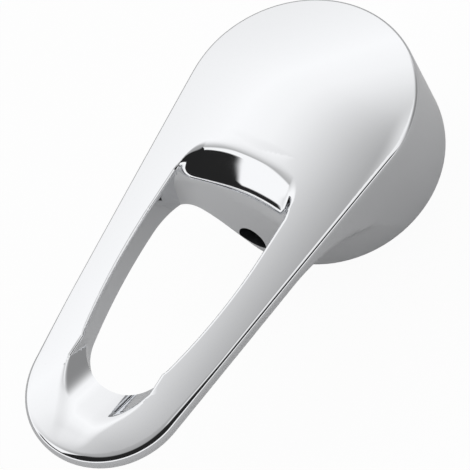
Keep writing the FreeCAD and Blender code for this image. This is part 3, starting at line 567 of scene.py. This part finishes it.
bpy.ops.object.select_all(action="DESELECT")
bpy.ops.mesh.primitive_plane_add(size=FLOOR_SIZE, location=(0, 0, 0))
floor = bpy.context.object
floor.name = "floor"
matt = new_material("matt_white_table")
tree = matt.node_tree
rays = add_node(tree, "ShaderNodeLightPath")
mirrored = add_node(
    tree,
    "ShaderNodeMath",
    {"operation": "MAXIMUM"},
    {0: rays.outputs["Is Glossy Ray"], 1: rays.outputs["Is Transmission Ray"]},
)
mirrored_share = add_node(
    tree, "ShaderNodeMath", {"operation": "MULTIPLY"}, {0: mirrored.outputs[0], 1: MIRRORED_WHITE_SHARE}
)
white_share = add_node(
    tree,
    "ShaderNodeMath",
    {"operation": "MULTIPLY_ADD"},
    {0: rays.outputs["Is Camera Ray"], 1: WHITE_SHARE, 2: mirrored_share.outputs[0]},
)
lit = add_node(tree, "ShaderNodeBsdfDiffuse", inputs={"Color": linear(FLOOR_COLOUR)})
white = add_node(tree, "ShaderNodeEmission", inputs={"Color": (1, 1, 1, 1), "Strength": WHITE_LEVEL})
table_top = add_node(
    tree,
    "ShaderNodeMixShader",
    inputs={"Fac": white_share.outputs[0], 1: lit.outputs["BSDF"], 2: white.outputs["Emission"]},
)
add_node(tree, "ShaderNodeOutputMaterial", inputs={"Surface": table_top.outputs["Shader"]})
floor.data.materials.append(matt)


# Light tent: white cloth all round, brightest behind and to the left and greyer to the front right. A
# black flag stands in front and to the right, and a low black board beside it at the left with a white
# panel above. A white strip runs under both, and a card and a grey gap are behind at the right.
TENT_FALL = (0.77, -0.64, 0.0)
TENT_TONES = [
    (-1.0, 0.98),
    (-0.85, 1.05),
    (-0.7, 1.12),
    (-0.55, 1.06),
    (-0.45, 0.96),
    (-0.3, 0.75),
    (-0.2, 0.6),
    (-0.1, 0.47),
    (0.3, 0.4),
]
FRONT = (0, -1, 0)
UP = (0, 0, 1)
DOWN = (0, 0, -1)
FOOT_HEIGHT = 0.24

# Edges of what hangs in the tent: the way to its inside, the edge's place along it and its softness
CARD = ((0.62, 0.48, 0.62), 0.88, 0.03)
GAP = ((0.56, 0.80, 0.20), 0.9, 0.09)
PANEL_RIGHT = ((-0.87, 0.5, 0.0), 0.0, 0.02)
PANEL_BACK = (FRONT, 0.42, 0.08)
STRIP_TOP = (DOWN, -FOOT_HEIGHT, 0.02)
STRIP_BACK = (FRONT, -0.3, 0.1)
FLAG_LEFT = ((0.87, -0.5, 0.0), 0.0, 0.02)
FLAG_RIGHT = ((0.36, -0.93, 0.0), 0.0, 0.05)
FLAG_TOP = (DOWN, -0.9, 0.04)
BOARD_LEFT = ((0.5, -0.87, 0.0), 0.05, 0.05)
BOARD_BACK = (FRONT, 0.12, 0.05)
BOARD_TOP = (DOWN, -0.44, 0.03)
BLACK_FOOT = (UP, FOOT_HEIGHT, 0.02)
CARD_TONE = 1.0
GAP_TONE = 0.28
PANEL_TONE = 1.1
BLACK_TONE = 0.02
TENT_PIECES = [
    ((CARD,), CARD_TONE),
    ((GAP,), GAP_TONE),
    ((PANEL_RIGHT, PANEL_BACK), PANEL_TONE),
    ((STRIP_TOP, STRIP_BACK), PANEL_TONE),
    ((FLAG_LEFT, FLAG_RIGHT, FLAG_TOP, BLACK_FOOT), BLACK_TONE),
    ((BOARD_LEFT, BOARD_BACK, BOARD_TOP, BLACK_FOOT), BLACK_TONE),
]

world = bpy.data.worlds.new("light_tent")
world.use_nodes = True
tree = world.node_tree
tree.nodes.clear()
way = add_node(tree, "ShaderNodeTexCoord").outputs["Generated"]
fall = add_node(tree, "ShaderNodeVectorMath", {"operation": "DOT_PRODUCT"}, {0: way, 1: TENT_FALL})
fall_share = add_node(
    tree, "ShaderNodeMapRange", inputs={"Value": fall.outputs["Value"], "From Min": -1.0, "From Max": 1.0}
)
tent = add_node(tree, "ShaderNodeValToRGB", inputs={"Fac": fall_share.outputs["Result"]})
stops = tent.color_ramp.elements
stops.remove(stops[1])
for number, (fall_value, tone) in enumerate(TENT_TONES):
    stop = stops[0] if number == 0 else stops.new((fall_value + 1) / 2)
    stop.color = (tone, tone, tone, 1)
seen = tent.outputs["Color"]
for edges, tone in TENT_PIECES:
    mask = 1.0
    for way_in, place_of_edge, softness in edges:
        reach = add_node(tree, "ShaderNodeVectorMath", {"operation": "DOT_PRODUCT"}, {0: way, 1: way_in})
        within = add_node(
            tree,
            "ShaderNodeMapRange",
            {"interpolation_type": "SMOOTHSTEP"},
            {
                "Value": reach.outputs["Value"],
                "From Min": place_of_edge - softness,
                "From Max": place_of_edge + softness,
            },
        )
        both = {0: mask, 1: within.outputs["Result"]}
        mask = add_node(tree, "ShaderNodeMath", {"operation": "MULTIPLY"}, both).outputs[0]
    layer = {"Factor": mask, COLOUR_A: seen, COLOUR_B: (tone, tone, tone, 1)}
    seen = add_node(tree, "ShaderNodeMix", {"data_type": "RGBA"}, layer).outputs[MIXED_COLOUR]
rays = add_node(tree, "ShaderNodeLightPath")
backdrop = {"Factor": rays.outputs["Is Camera Ray"], COLOUR_A: seen, COLOUR_B: (1, 1, 1, 1)}
seen = add_node(tree, "ShaderNodeMix", {"data_type": "RGBA"}, backdrop).outputs[MIXED_COLOUR]
glow = add_node(tree, "ShaderNodeBackground", inputs={"Color": seen, "Strength": 1.0})
add_node(tree, "ShaderNodeOutputWorld", inputs={"Surface": glow.outputs["Background"]})
bpy.context.scene.world = world


# Camera: looks down on the right side of the handle from in front, turned so that the lever points
# to the lower left of the picture.
CAMERA_PLACE = Vector((258.8, -159.3, 510.1)) * MM
CAMERA_TARGET = Vector((-0.24, -26.43, 16.06)) * MM
CAMERA_ROLL = math.radians(-34.71)
CAMERA_LENS = 236.4
SENSOR_WIDTH = 36

bpy.ops.object.camera_add(location=CAMERA_PLACE)
camera = bpy.context.object
camera.name = "camera"
aim = (CAMERA_PLACE - CAMERA_TARGET).to_track_quat("Z", "Y")
camera.rotation_euler = (aim @ Quaternion((0, 0, 1), CAMERA_ROLL)).to_euler()
camera.data.sensor_width = SENSOR_WIDTH
camera.data.lens = CAMERA_LENS
bpy.context.scene.camera = camera
bpy.context.scene.view_settings.view_transform = "Standard"
